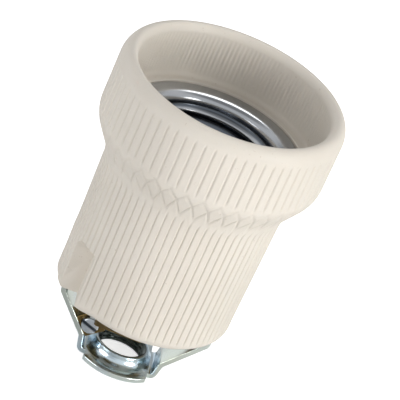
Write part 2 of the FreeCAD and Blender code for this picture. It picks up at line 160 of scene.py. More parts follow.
print("operators ready:", [name for name in dir(Term) if not name.startswith("_")])

# %% [markdown]
# ## Lathe work
#
# `lathe` takes a grid of radii and heights, one row for each point of the profile and one column for each
# step round the axis. A plain turned part has equal radii along a row. A thread only needs radii that vary
# along it.

# %% Lathe
def new_piece(name, mesh):
    piece = bpy.data.objects.new(name, mesh)
    bpy.context.scene.collection.objects.link(piece)
    return piece


def outward(mesh):
    work = bmesh.new()
    work.from_mesh(mesh)
    bmesh.ops.recalc_face_normals(work, faces=work.faces)
    work.to_mesh(mesh)
    work.free()


def lathe(name, radius, height, angles, ring):
    """A closed mesh round Z, in mm. A ring's profile closes on itself, and other profiles end on the axis."""
    rows, columns = radius.shape
    grid = np.stack([radius * np.cos(angles), radius * np.sin(angles), height], axis=2)
    points = list(grid.reshape(-1, 3) * MM)
    index = np.arange(rows * columns).reshape(rows, columns)
    below = index if ring else index[:-1]
    above = np.roll(index, -1, axis=0) if ring else index[1:]
    quads = np.stack([below, np.roll(below, -1, axis=1), np.roll(above, -1, axis=1), above], axis=2)
    faces = quads.reshape(-1, 4).tolist()
    if not ring:
        for row, reverse in ((0, True), (rows - 1, False)):
            pole = len(points)
            points.append((0.0, 0.0, float(height[row, 0]) * MM))
            edge = index[row].tolist()
            for a, b in zip(edge, edge[1:] + edge[:1]):
                faces.append((b, a, pole) if reverse else (a, b, pole))
    mesh = bpy.data.meshes.new(name)
    mesh.from_pydata(points, [], faces)
    outward(mesh)
    return new_piece(name, mesh)


def spread(profile, columns):
    """Two grids, of radii and of heights, from a profile that is the same all the way round."""
    rows = np.array(profile)
    return np.repeat(rows[:, :1], columns, axis=1), np.repeat(rows[:, 1:2], columns, axis=1)


def even_turn(columns):
    return np.linspace(0, 2 * math.pi, columns, endpoint=False)


print("lathe ready, an even turn of 8 starts with", np.round(even_turn(8)[:3], 3))

# %% [markdown]
# ## Curves of a profile
#
# A profile is a list of points, each a radius and a height in mm. Its corners are rounded as a die's or a
# tool's are: by a quarter of an ellipse where two walls meet squarely, and by a soft bend where they don't.
# Straight stretches get points of their own only where a pattern is pressed into them.

# %% Curve helpers
def quarter(start, corner, end, steps):
    """Points on a quarter of an ellipse from start to end that bulges towards corner."""
    a, c, b = np.array(start), np.array(corner), np.array(end)
    centre = a + b - c
    turns = np.linspace(0, math.pi / 2, steps + 1)
    return [tuple(centre + (a - centre) * math.cos(t) + (b - centre) * math.sin(t)) for t in turns]


def blend_corner(start, corner, end, steps):
    """Points on a soft bend from start to end, for a corner that isn't square."""
    a, c, b = np.array(start), np.array(corner), np.array(end)
    turns = np.linspace(0, 1, steps + 1)
    return [tuple(a * (1 - t) ** 2 + c * 2 * t * (1 - t) + b * t ** 2) for t in turns]


def straight(start, end, steps):
    """Points between start and end, without either."""
    a, b = np.array(start), np.array(end)
    return [tuple(a + (b - a) * i / steps) for i in range(1, steps)]


def toward(start, end, distance):
    """The point that lies at this distance from start, on the way to end."""
    way = np.array(end) - np.array(start)
    return tuple(np.array(start) + way * distance / np.linalg.norm(way))


def soft_step(value):
    """The same soft rise from 0 to 1 as `Term.smooth` has, for numbers."""
    value = np.clip(value, 0, 1)
    return value ** 2 * (3 - 2 * value)


print("curve helpers ready, a quarter in 2 steps:", np.round(quarter((1, 0), (1, 1), (0, 1), 2), 2).tolist())

# %% [markdown]
# ## Cutters and booleans
#
# Pockets, notches and holes are plain solids that a boolean takes away. The manifold solver is fast and
# gives closed meshes, as long as every solid that goes in is closed too.

# %% Solids, booleans and shading
def settle(piece):
    """Turns the piece's modifiers into plain mesh."""
    graph = bpy.context.evaluated_depsgraph_get()
    mesh = bpy.data.meshes.new_from_object(piece.evaluated_get(graph))
    piece.modifiers.clear()
    old = piece.data
    piece.data = mesh
    bpy.data.meshes.remove(old)


def combine(piece, others, operation):
    """Cuts the others from the piece, or joins them to it, and removes them."""
    for other in others:
        step = piece.modifiers.new("Combine", "BOOLEAN")
        step.operation = operation
        step.solver = "MANIFOLD"
        step.object = other
        settle(piece)
        bpy.data.objects.remove(other)


def mesh_in_mm(name, work):
    """Shrinks a bmesh that was drawn in mm to metres and makes a mesh of it."""
    for vert in work.verts:
        vert.co *= MM
    mesh = bpy.data.meshes.new(name)
    work.to_mesh(mesh)
    work.free()
    return mesh


def solid_box(name, low, high, rounded=None, radius=0.0):
    """A box in mm. rounded picks the edges to round, by their middle point."""
    work = bmesh.new()
    bmesh.ops.create_cube(work, size=1.0)
    low, high = Vector(low), Vector(high)
    for vert in work.verts:
        vert.co = Vector([low[i] + (vert.co[i] + 0.5) * (high[i] - low[i]) for i in range(3)])
    if rounded:
        edges = [edge for edge in work.edges if rounded((edge.verts[0].co + edge.verts[1].co) / 2)]
        bmesh.ops.bevel(work, geom=edges, offset=radius, segments=8, profile=0.5, affect="EDGES")
    mesh = mesh_in_mm(name, work)
    outward(mesh)
    return new_piece(name, mesh)


def pair_of_boxes(low, high, rounded=None, radius=0.0):
    """A box and its twin, half a turn round the holder's axis."""
    first = solid_box("cut", low, high, rounded, radius)
    second = first.copy()
    second.data = first.data.copy()
    second.data.transform(Matrix.Rotation(math.pi, 4, "Z"))
    bpy.context.scene.collection.objects.link(second)
    return [first, second]


def rod(name, start, end, radius, sides=48):
    """A round or, with few sides, a six-sided rod in mm."""
    start, end = Vector(start), Vector(end)
    work = bmesh.new()
    length = (end - start).length
    bmesh.ops.create_cone(work, cap_ends=True, segments=sides, radius1=radius, radius2=radius, depth=length)
    turn = (end - start).to_track_quat("Z", "Y").to_matrix().to_4x4()
    bmesh.ops.transform(work, matrix=Matrix.Translation((start + end) / 2) @ turn, verts=work.verts)
    return new_piece(name, mesh_in_mm(name, work))


def smooth_shading(piece, degrees):
    piece.data.shade_smooth()
    piece.data.set_sharp_from_angle(angle=math.radians(degrees))


def faces_of(piece):
    return sum(len(face.vertices) - 2 for face in piece.data.polygons)


print("solids, booleans and shading ready")

# %% [markdown]
# ## How a finish is built
#
# Each finish is procedural and reads Object coordinates, so it sticks to its piece. Four helpers keep the
# recipes short: a noise, a colour ramp, a mix of two colours and a bump.

# %% Material helpers
def new_material(name):
    material = bpy.data.materials.new(name)
    material.use_nodes = True
    tree = material.node_tree
    shader = tree.nodes["Principled BSDF"]
    return material, tree, shader, add_node(tree, "ShaderNodeTexCoord").outputs["Object"]


def noise(tree, place, scale, detail, stretch=None):
    if stretch:
        place = add_node(tree, "ShaderNodeMapping", Scale=stretch, Vector=place).outputs["Vector"]
    node = add_node(tree, "ShaderNodeTexNoise", Scale=scale, Detail=detail, Vector=place)
    return Term(tree, node.outputs["Fac"])


def ramp(tree, value, stops):
    node = add_node(tree, "ShaderNodeValToRGB", Fac=value)
    elements = node.color_ramp.elements
    elements[0].position, elements[0].color = stops[0][0], (*stops[0][1], 1)
    elements[1].position, elements[1].color = stops[-1][0], (*stops[-1][1], 1)
    for position, colour in stops[1:-1]:
        elements.new(position).color = (*colour, 1)
    return node.outputs["Color"]


MIX_FACTOR, MIX_FIRST, MIX_SECOND = 0, 6, 7     # a Mix node's colour sockets, by number


def mix(tree, factor, first, second):
    node = add_node(tree, "ShaderNodeMix")
    node.data_type = "RGBA"
    for index, value in ((MIX_FACTOR, factor), (MIX_FIRST, first), (MIX_SECOND, second)):
        plug(tree, node.inputs[index], (*value, 1) if isinstance(value, tuple) else value)
    return node.outputs[2]


def bump(tree, height, distance, strength, shader):
    node = add_node(tree, "ShaderNodeBump", Distance=distance * MM, Strength=strength, Height=height)
    feed(tree, shader, Normal=node.outputs["Normal"])


def dress(piece, material):
    piece.data.materials.clear()
    piece.data.materials.append(material)


print("material helpers ready")

# %% [markdown]
# ## Unglazed porcelain
#
# Porcelain for holders is fired without a glaze, so it is satin: a pale warm clay with a fine grain and
# faint specks. A little light goes into it, which a small subsurface weight gives. The pressed grooves get
# painted shade: the press pattern will store its depth as an attribute of the mesh, and the finish
# darkens by that.

# %% Porcelain finish
CLAY_DEEP, CLAY_PALE = (0.70, 0.65, 0.575), (0.745, 0.695, 0.62)
# The second colour on the next line is painted shade for the grooves. The specks are the clay's own.
SPECK, GROOVE_SHADE = (0.42, 0.34, 0.26), (0.42, 0.37, 0.31)


def make_porcelain():
    material, tree, shader, place = new_material("porcelain")
    cloud = noise(tree, place, scale=60.0, detail=3.0)
    clay = ramp(tree, cloud, [(0.3, CLAY_DEEP), (0.7, CLAY_PALE)])
    specks = noise(tree, place, scale=1700.0, detail=2.0).smooth(0.70, 0.76)
    clay = mix(tree, specks * 0.35, clay, SPECK)
    # Painted shade: the grooves are darkened by their stored depth.
    attribute = add_node(tree, "ShaderNodeAttribute")
    attribute.attribute_name = "depth"
    groove = Term(tree, attribute.outputs["Fac"]).smooth(0.02, 0.3)
    clay = mix(tree, groove * 0.16, clay, GROOVE_SHADE)
    rough = noise(tree, place, scale=300.0, detail=3.0) * 0.16 + 0.46
    feed(tree, shader, Base_Color=clay, Roughness=rough, Specular_IOR_Level=0.42,
         Subsurface_Weight=0.06, Subsurface_Radius=(0.0012, 0.0009, 0.0006), Subsurface_Scale=1.0)
    fine = noise(tree, place, scale=2600.0, detail=3.0)
    grain = fine + noise(tree, place, scale=500.0, detail=2.0) * 1.5
    bump(tree, grain, distance=0.05, strength=0.6, shader=shader)
    return material


finishes = {"porcelain": make_porcelain()}
print("porcelain finish:", len(finishes["porcelain"].node_tree.nodes), "nodes")

# %% [markdown]
# ## The porcelain's profile
#
# The body is pressed and turned, so its blank is one closed profile: underside, narrow body, cone, collar,
# soft lip, ledge for the shell's flange, and the deep well. Rows are close together where grooves begin or
# end and at each rounding, and far apart on plain walls.

# %% Profile of the body
COLLAR_FOOT_R = RIM_R - 0.1
COLLAR_IN_R = RIM_R - 3.3
COLLAR_FOOT_Z = RIM_Z - 14.5
NECK_R = 18.4
NECK_FOOT_R = 17.7
NECK_Z = COLLAR_FOOT_Z - 7.0
WELL_R = 14.3
WELL_FLOOR_R = 8.0
LEDGE_Z = RIM_Z - 11.4
LEDGE_ROUND = 1.0
SEAT_R = FLANGE_R + 0.25
SEAT_Z = FLANGE_Z - 0.4
SEAT_EDGE = 0.2
SEAT_ROUND = 1.6
LIP_TOP_R = RIM_R - 2.0
LIP_OUT_DROP, LIP_IN_DROP = 3.0, 1.8
UNDERSIDE_R = (6.0, 12.0)
FOOT_ROUND, FOOT_STEPS = 2.8, 10

foot_corner = (NECK_FOOT_R, FOOT_Z)
foot_up = (NECK_FOOT_R, FOOT_Z + FOOT_ROUND)
groove_low = (NECK_FOOT_R, FOOT_Z + 5.0)
neck_top = (NECK_R, NECK_Z)
cone_top = (COLLAR_FOOT_R, COLLAR_FOOT_Z)
lip_out = (RIM_R, RIM_Z - LIP_OUT_DROP)
neck_below = toward(neck_top, foot_up, 2.6)
neck_above = toward(neck_top, cone_top, 2.4)
cone_below = toward(cone_top, neck_top, 1.7)
cone_above = toward(cone_top, lip_out, 1.7)

outside = [(radius, FOOT_Z) for radius in UNDERSIDE_R]
outside += quarter((NECK_FOOT_R - FOOT_ROUND, FOOT_Z), foot_corner, foot_up, FOOT_STEPS)
outside += straight(foot_up, groove_low, 6)
outside += [groove_low] + straight(groove_low, neck_below, 9)
outside += blend_corner(neck_below, neck_top, neck_above, 6)
outside += straight(neck_above, cone_below, 12)
outside += blend_corner(cone_below, cone_top, cone_above, 6)
outside += straight(cone_above, lip_out, 26)
outside += quarter(lip_out, (RIM_R, RIM_Z), (LIP_TOP_R, RIM_Z), 10)

ledge_top = (COLLAR_IN_R, LEDGE_Z + LEDGE_ROUND)
well_top = (WELL_R + SEAT_ROUND, SEAT_Z)
inside = quarter((LIP_TOP_R, RIM_Z), (COLLAR_IN_R, RIM_Z), (COLLAR_IN_R, RIM_Z - LIP_IN_DROP), 8)[1:]
inside += straight(inside[-1], ledge_top, 5)
inside += quarter(ledge_top, (COLLAR_IN_R, LEDGE_Z), (COLLAR_IN_R - LEDGE_ROUND, LEDGE_Z), 6)
inside += quarter((SEAT_R + SEAT_EDGE, LEDGE_Z), (SEAT_R, LEDGE_Z), (SEAT_R, LEDGE_Z - SEAT_EDGE), 3)
inside += [(SEAT_R, SEAT_Z), well_top]
inside += blend_corner(well_top, (WELL_R, SEAT_Z), (WELL_R, SEAT_Z - SEAT_ROUND), 4)[1:]
inside += [(WELL_R, (SEAT_Z + WELL_Z) / 2), (WELL_R, WELL_Z), (WELL_FLOOR_R, WELL_Z)]
print("profile:", len(outside), "points outside and", len(inside), "inside")

# %% [markdown]
# The blank's columns lie close together across each groove and further apart on the lands between. Its foot
# is rounded all the way but for its left end, where it is nearly square and a little wider. We move the
# grid's points there before the lathe makes a mesh of them.

# %% The porcelain blank
GROOVES = 72
PITCH_STEPS = (-0.5, -0.4, -0.3, -0.21, -0.14, -0.07, 0.0, 0.07, 0.14, 0.21, 0.3, 0.4)
NOTCH_X, NOTCH_Y, NOTCH_Z, NOTCH_ROUND = 12.6, 6.7, 25.9, 3.0
SQUARE_MIDDLE, SQUARE_HALF, SQUARE_FADE = math.radians(185), math.radians(38), math.radians(18)
SQUARE_EDGE, SQUARE_GROWTH, SQUARE_TOP, SQUARE_TOP_FADE = 0.8, 0.12, NOTCH_Z + 1.0, 3.0

turns = [(groove + 0.5 + step) / GROOVES for groove in range(GROOVES) for step in PITCH_STEPS]
body_angles = np.array(turns) * 2 * math.pi
body_radius, body_height = spread(outside + inside, len(body_angles))

squareness = soft_step((SQUARE_HALF + SQUARE_FADE - np.abs(body_angles - SQUARE_MIDDLE)) / SQUARE_FADE)
foot_rows = slice(len(UNDERSIDE_R), len(UNDERSIDE_R) + FOOT_STEPS + 1)
square_up = (NECK_FOOT_R, FOOT_Z + SQUARE_EDGE)
tight = np.array(quarter((NECK_FOOT_R - SQUARE_EDGE, FOOT_Z), foot_corner, square_up, FOOT_STEPS))
body_radius[foot_rows] += (tight[:, :1] - body_radius[foot_rows]) * squareness
body_height[foot_rows] += (tight[:, 1:2] - body_height[foot_rows]) * squareness
low_enough = soft_step((SQUARE_TOP - body_height) / SQUARE_TOP_FADE)
on_foot_wall = (body_radius > NECK_FOOT_R - 1.5) * (body_radius < NECK_R)
body_radius += SQUARE_GROWTH * (low_enough * on_foot_wall) * squareness
porcelain = lathe("porcelain", body_radius, body_height, body_angles, ring=False)
print("porcelain blank:", body_radius.shape, "rows and columns,", faces_of(porcelain), "triangles")

# %% [markdown]
# ## Ribs, diamonds and flutes from one node tree
#
# The die presses 72 grooves into the collar and the body, and a ring of 42 diamonds over the edge between
# them. Inside the collar the core leaves twice as many shallow flutes. All three follow a rule of the angle
# and the height, so a geometry node tree makes them: it works out a depth for each point and moves the
# point inwards along its normal. It also stores the depth for the finish, which paints shade by it, and
# a smaller one for the flutes, whose painted shade is lighter.

# %% The press pattern tree
# How much of the painted groove shade the flutes get.
FLUTE_SHADE = 0.4
PATTERN = {
    "Groove Count": GROOVES, "Groove Half Width": 0.17, "Groove Depth": 0.23,
    "Collar Groove Top": 3.0, "Collar Groove Foot": 13.2, "Body Groove Top": 21.8, "Body Groove Foot": 49.2,
    "Diamond Count": 42, "Diamond Shift": 0.78, "Diamond Top": 14.3, "Diamond Middle": 16.6,
    "Diamond Foot": 20.5, "Diamond Line": 0.3, "Diamond Depth": 0.2,
    "Flute Count": 2 * GROOVES, "Flute Top": 2.2, "Flute Foot": 9.0, "Flute Depth": 0.19,
}


def groove_depth(inputs, turn, below):
    beat = (turn * inputs["Groove Count"]).math("FRACT") - 0.5
    groove = beat.math("ABSOLUTE").smooth(inputs["Groove Half Width"], inputs["Groove Half Width"] * 0.12)
    collar = window(below, inputs["Collar Groove Top"], inputs["Collar Groove Foot"], 0.5)
    narrow = window(below, inputs["Body Groove Top"], inputs["Body Groove Foot"], 0.6)
    return groove * (collar + narrow) * inputs["Groove Depth"]


def diamond_depth(inputs, turn, below):
    place = (turn * inputs["Diamond Count"] - inputs["Diamond Shift"] + 0.5).math("FRACT") - 0.5
    across = place.math("ABSOLUTE") * 2.0
    rise = (inputs["Diamond Middle"] - below) / (inputs["Diamond Middle"] - inputs["Diamond Top"])
    fall = (below - inputs["Diamond Middle"]) / (inputs["Diamond Foot"] - inputs["Diamond Middle"])
    reach = rise.math("MAXIMUM", fall)
    off_line = (across + reach - 1.0).math("ABSOLUTE") * 1.4
    line = off_line.smooth(inputs["Diamond Line"], inputs["Diamond Line"] * 0.1)
    band = window(below, inputs["Diamond Top"], inputs["Diamond Foot"], 0.15)
    return line * band * inputs["Diamond Depth"]


def flute_depth(inputs, turn, below):
    wave = (turn * inputs["Flute Count"] * (2 * math.pi)).math("COSINE") * 0.5 + 0.5
    return wave * window(below, inputs["Flute Top"], inputs["Flute Foot"], 1.0) * inputs["Flute Depth"]


def pattern_tree(settings, finish):
    tree = bpy.data.node_groups.new("Press Pattern", "GeometryNodeTree")
    tree.interface.new_socket("Geometry", in_out="INPUT", socket_type="NodeSocketGeometry")
    tree.interface.new_socket("Geometry", in_out="OUTPUT", socket_type="NodeSocketGeometry")
    for name, value in settings.items():
        entry = tree.interface.new_socket(name, in_out="INPUT", socket_type="NodeSocketFloat")
        entry.default_value = value
    enter, leave = add_node(tree, "NodeGroupInput"), add_node(tree, "NodeGroupOutput")
    inputs = {name: Term(tree, enter.outputs[name]) for name in settings}

    x, y, z = axes(tree, add_node(tree, "GeometryNodeInputPosition").outputs[0])
    turn = y.math("ARCTAN2", x) / (2 * math.pi) + 1.0
    below = (z - RIM_Z * MM) / MM * -1.0
    radius = (x * x + y * y).math("SQRT") / MM

    in_bowl = radius.math("LESS_THAN", COLLAR_IN_R + 0.05) * below.math("LESS_THAN", RIM_Z - SEAT_Z + 2.0)
    inner_wall = in_bowl * radius.math("GREATER_THAN", COLLAR_IN_R - 0.4)
    outer_wall = radius.smooth(WELL_R + 2.5, WELL_R + 2.6) * below.math("GREATER_THAN", 0.2)
    pressed = groove_depth(inputs, turn, below).math("MAXIMUM", diamond_depth(inputs, turn, below))
    outer_depth = outer_wall * in_bowl.flipped() * pressed
    inner_depth = inner_wall * flute_depth(inputs, turn, below)
    depth = outer_depth + inner_depth
    # The depth that the finish darkens by, as painted shade.
    shade_depth = outer_depth + inner_depth * FLUTE_SHADE

    push = add_node(tree, "ShaderNodeVectorMath")
    push.operation = "SCALE"
    plug(tree, push.inputs[0], add_node(tree, "GeometryNodeInputNormal").outputs[0])
    plug(tree, push.inputs["Scale"], depth * -MM)
    keep = add_node(tree, "GeometryNodeStoreNamedAttribute")
    keep.data_type, keep.domain = "FLOAT", "POINT"
    feed(tree, keep, Name="depth", Value=shade_depth)
    move = add_node(tree, "GeometryNodeSetPosition", Offset=push.outputs[0])
    realize = add_node(tree, "GeometryNodeRealizeInstances")
    paint = add_node(tree, "GeometryNodeSetMaterial", Material=finish)
    chain = [enter, keep, move, realize, paint, leave]
    for node, following in zip(chain, chain[1:]):
        tree.links.new(node.outputs["Geometry"], following.inputs["Geometry"])
    return tree


press = pattern_tree(PATTERN, finishes["porcelain"])
print("press pattern:", len(press.nodes), "nodes and", len(PATTERN), "inputs")

# %% [markdown]
# A modifier's inputs are set by their sockets' identifiers, before the piece is evaluated for the first
# time. Then the result becomes plain mesh and the modifier goes.

# %% Press the pattern
step = porcelain.modifiers.new("Press", "NODES")
step.node_group = press
for item in press.interface.items_tree:
    if item.in_out == "INPUT" and item.name in PATTERN:
        step[item.identifier] = float(PATTERN[item.name])
settle(porcelain)
depths = np.zeros(len(porcelain.data.vertices))
porcelain.data.attributes["depth"].data.foreach_get("value", depths)
print("pressed pattern: deepest point", round(float(depths.max()), 3), "mm")

# %% [markdown]
# ## Cuts in the porcelain
#
# Next come the two corner notches, the slots that take the bracket's feet, the pockets of the terminals,
# and the holes for the screws with their six-sided nut traps. Most come in pairs, half a turn apart.

# %% Notches, pockets and holes
UNDER, BEYOND = 5.0, 30.0                       # cutters start at this height, and reach this far out
FOOT_SLOT_X, FOOT_SLOT_HALF, FOOT_SLOT_DEPTH = (6.95, 19.5), 4.55, 1.0
POCKET_X, POCKET_Y, POCKET_DEPTH = (-7.75, 2.75), (-10.75, -5.65), 1.2
HOLE_R, FIXING_Y, BRACKET_SCREW_X = 1.8, 8.2, 10.6
NUT_ACROSS_FLATS, NUT_SEAT_Z = 6.0, 17.0


def notch_edges(middle):
    return middle.z > NOTCH_Z - 0.1 and middle.y > -NOTCH_Y - 0.1


notch_corner = (-NOTCH_X, -NOTCH_Y, NOTCH_Z)
slot_corner = (FOOT_SLOT_X[1], FOOT_SLOT_HALF, FOOT_Z + FOOT_SLOT_DEPTH)
pocket_corner = (POCKET_X[1], POCKET_Y[1], FOOT_Z + POCKET_DEPTH)
cuts = pair_of_boxes((-BEYOND, -BEYOND, UNDER), notch_corner, notch_edges, NOTCH_ROUND)
cuts += pair_of_boxes((FOOT_SLOT_X[0], -FOOT_SLOT_HALF, UNDER), slot_corner)
cuts += pair_of_boxes((POCKET_X[0], POCKET_Y[0], UNDER), pocket_corner)
for x, y in ((0, FIXING_Y), (0, -FIXING_Y), (BRACKET_SCREW_X, 0), (-BRACKET_SCREW_X, 0)):
    cuts.append(rod("cut", (x, y, UNDER), (x, y, WELL_Z + 5), HOLE_R))
for x in (BRACKET_SCREW_X, -BRACKET_SCREW_X):
    cuts.append(rod("cut", (x, 0, NUT_SEAT_Z), (x, 0, WELL_Z + 5), NUT_ACROSS_FLATS / math.sqrt(3), sides=6))
combine(porcelain, cuts, "DIFFERENCE")
smooth_shading(porcelain, 38)
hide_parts("porcelain_body")
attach(porcelain, "holder")
print("porcelain after the cuts:", faces_of(porcelain), "triangles")

# %% [markdown]
# ## The rolled screw shell
#
# The shell is thin sheet, rolled into a right-handed thread of 3.629 mm pitch. Its two faces are the same
# wave, one sheet thickness apart. The wave's phase runs round the axis once for each pitch of height, which
# makes a helix out of rings, and the wave fades out towards the mouth and the foot.

# %% Profile of the shell
THREAD_PITCH, THREAD_TURNS, THREAD_START = 3.629, 5, math.radians(200)
ROOT_R, THREAD_DEPTH, SHEET = 13.3, 1.1, 0.4
SHEET_EDGE = 0.12
MOUTH_OUT, MOUTH_IN = 1.6, 1.9                  # reach of the mouth's roundings, under and over the sheet
LIP_WIDTH = 1.2
ROLL_TOP = SEAT_Z - 1.6
ROLL_FOOT = ROLL_TOP - THREAD_TURNS * THREAD_PITCH
ROLL_ROWS = 90


def rolled(radius):
    """Points up one face of the rolled wall. The third number says how much of the wave a point takes."""
    return [(radius, z, 1.0) for z in np.linspace(ROLL_FOOT, ROLL_TOP, ROLL_ROWS)]


def plain(points):
    return [(r, z, 0.0) for r, z in points]


outer_r = ROOT_R + SHEET
lip_r = ROOT_R - LIP_WIDTH
lip_top = WELL_Z + SHEET
mouth_out = quarter((outer_r, ROLL_TOP + 0.1), (outer_r, SEAT_Z), (outer_r + MOUTH_OUT, SEAT_Z), 8)
mouth_in = quarter((outer_r + MOUTH_IN, FLANGE_Z), (ROOT_R, FLANGE_Z), (ROOT_R, ROLL_TOP + 0.1), 12)
shell_rows = plain([(outer_r, WELL_Z)]) + rolled(outer_r) + plain(mouth_out)
shell_rows += plain([(FLANGE_R - SHEET_EDGE, SEAT_Z), (FLANGE_R, SEAT_Z + SHEET_EDGE)])
shell_rows += plain([(FLANGE_R, FLANGE_Z - SHEET_EDGE), (FLANGE_R - SHEET_EDGE, FLANGE_Z)])
shell_rows += plain(mouth_in) + rolled(ROOT_R)[::-1]
shell_rows += plain([(ROOT_R, lip_top + 0.4), (ROOT_R - 0.4, lip_top), (lip_r, lip_top), (lip_r, WELL_Z)])
print("shell profile:", len(shell_rows), "points, rolled from", round(ROLL_FOOT, 2), "to", round(ROLL_TOP, 2))

# %% [markdown]
# The grid of radii takes the wave away from the plain wall. A lug at the foot, with a hole for its screw,
# joins the shell to the neutral terminal.

# %% Shell with its helix
shell_angles = even_turn(192)
shell_radius, shell_height = spread(shell_rows, len(shell_angles))
takes_wave = np.array(shell_rows)[:, 2:3]
fade = soft_step((shell_height - ROLL_FOOT) / 1.8) * soft_step((ROLL_TOP - shell_height) / 1.4)
phase = 2 * math.pi * (shell_height - ROLL_FOOT) / THREAD_PITCH - shell_angles + THREAD_START
wave = THREAD_DEPTH * (0.5 + 0.5 * np.cos(phase)) * fade * takes_wave
shell = lathe("shell", shell_radius - wave, shell_height, shell_angles, ring=True)

LUG_HALF, LUG_END_Y = 3.2, -5.35
lug = solid_box("lug", (-LUG_HALF, -lip_r - 0.4, WELL_Z), (LUG_HALF, LUG_END_Y, WELL_Z + SHEET))
combine(shell, [lug], "UNION")
combine(shell, [rod("cut", (0, -FIXING_Y, WELL_Z - 1), (0, -FIXING_Y, WELL_Z + 2), HOLE_R)], "DIFFERENCE")
smooth_shading(shell, 40)
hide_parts("screw_shell")
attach(shell, "holder")
print("shell:", faces_of(shell), "triangles, thread depth", round(float(wave.max()), 2), "mm")

# %% [markdown]
# ## The bracket's arms
#
# The bracket is one strip of 1 mm steel: a round plate with a drawn, threaded collar, then a step, a
# slanting arm and a foot on each side. We sweep a small rounded rectangle along each arm's bent path,
# because the sheared edges of real strip are slightly rounded and catch the light. First comes the path:
# its corners are those of the strip's outside, and every inner one gets an arc.

# %% Path of an arm
STRIP, WIDTH, STRIP_EDGE = 1.0, 8.6, 0.14
PLATE_R, FLAT_X = 9.2, 6.5
BEND, FOOT_END_ROUND = 1.1, 1.6
ARM = [(5.6, 0.0), (8.1, 0.0), (8.85, 3.5), (STRIP_X, 11.3), (STRIP_X, STRIP_Z), (7.2, STRIP_Z)]
END_RINGS = (FOOT_END_ROUND, 1.3, 1.0, 0.7, 0.4, 0.2, 0.08, 0.0)    # distances from the foot's rounded end


def normal_of(way):
    return np.array([-way[1], way[0]])


def unit(vector):
    return vector / np.linalg.norm(vector)


def middle_line(corners, offset):
    """The corners moved to their left by offset, so that each leg moves by exactly that."""
    corners = [np.array(c, dtype=float) for c in corners]
    ways = [unit(b - a) for a, b in zip(corners, corners[1:])]
    moved = [corners[0] + normal_of(ways[0]) * offset]
    for corner, before, after in zip(corners[1:-1], ways, ways[1:]):
        bisector = unit(normal_of(before) + normal_of(after))
        moved.append(corner + bisector * offset / float(bisector @ normal_of(before)))
    moved.append(corners[-1] + normal_of(ways[-1]) * offset)
    return moved


def bent_path(corners, radius, steps=10):
    """Points and normals along straight legs with an arc at every inner corner."""
    path = [(corners[0], normal_of(unit(corners[1] - corners[0])))]
    for before, corner, after in zip(corners, corners[1:], corners[2:]):
        back, ahead = unit(before - corner), unit(after - corner)
        half = math.acos(float(np.clip(back @ ahead, -1, 1))) / 2
        reach = radius / math.tan(half)
        centre = corner + unit(back + ahead) * radius / math.sin(half)
        start, end = corner + back * reach - centre, corner + ahead * reach - centre
        turn = math.atan2(start[0] * end[1] - start[1] * end[0], float(start @ end))
        inward = -1.0 if turn > 0 else 1.0
        for t in np.linspace(0, turn, steps + 1):
            spoke = np.array([start[0] * math.cos(t) - start[1] * math.sin(t),
                              start[0] * math.sin(t) + start[1] * math.cos(t)])
            path.append((centre + spoke, unit(spoke) * inward))
    backwards = unit(corners[-2] - corners[-1])
    for distance in END_RINGS:
        path.append((corners[-1] + backwards * distance, normal_of(-backwards)))
    return path


arm_path = bent_path(middle_line(ARM, STRIP / 2), BEND)
print("arm's path:", len(arm_path), "points")

# %% [markdown]
# The section is a rectangle with rounded corners. Over the last rings it gets narrower along a circle,
# which rounds the foot's end. Both arms are the same strip, half a turn apart.

# %% Sweep the arms
def section(half_width, half_sheet, radius, steps=3):
    """A rounded rectangle, as (across, through) pairs."""
    points = []
    for sx, sy, start in ((1, 1, 0), (-1, 1, 90), (-1, -1, 180), (1, -1, 270)):
        for i in range(steps + 1):
            angle = math.radians(start + 90 * i / steps)
            points.append((sx * (half_width - radius) + radius * math.cos(angle),
                           sy * (half_sheet - radius) + radius * math.sin(angle)))
    return points


def swept_arm(name, path):
    insets = [0.0] * (len(path) - len(END_RINGS))
    for left in END_RINGS:
        insets.append(FOOT_END_ROUND - math.sqrt(FOOT_END_ROUND ** 2 - (FOOT_END_ROUND - left) ** 2))
    points = []
    for (point, normal), inset in zip(path, insets):
        for across, through in section(WIDTH / 2 - inset, STRIP / 2, STRIP_EDGE):
            spot = point + normal * through
            points.append((spot[0] * MM, across * MM, spot[1] * MM))
    count = len(points) // len(path)
    faces = []
    for i in range(len(path) - 1):
        for j in range(count):
            a, b = i * count + j, i * count + (j + 1) % count
            faces.append((a, b, b + count, a + count))
    faces.append(tuple(range(count)))
    faces.append(tuple(range(len(points) - count, len(points))))
    mesh = bpy.data.meshes.new(name)
    mesh.from_pydata(points, [], faces)
    outward(mesh)
    return new_piece(name, mesh)


right_arm = swept_arm("right_arm", arm_path)
left_arm = swept_arm("left_arm", arm_path)
left_arm.data.transform(Matrix.Rotation(math.pi, 4, "Z"))
print("one arm:", faces_of(right_arm), "triangles")

# %% [markdown]
# ## Plate, collar and thread
#
# The plate is turned as a full disc, and its two sides are cut straight where the arms leave it. The drawn
# collar flows out of it in a wide flare. The bore gets a real 1 mm thread: the inner rows of the same lathe
# grid follow a triangular wave, which is cut off above and below so that crests and roots are flat.

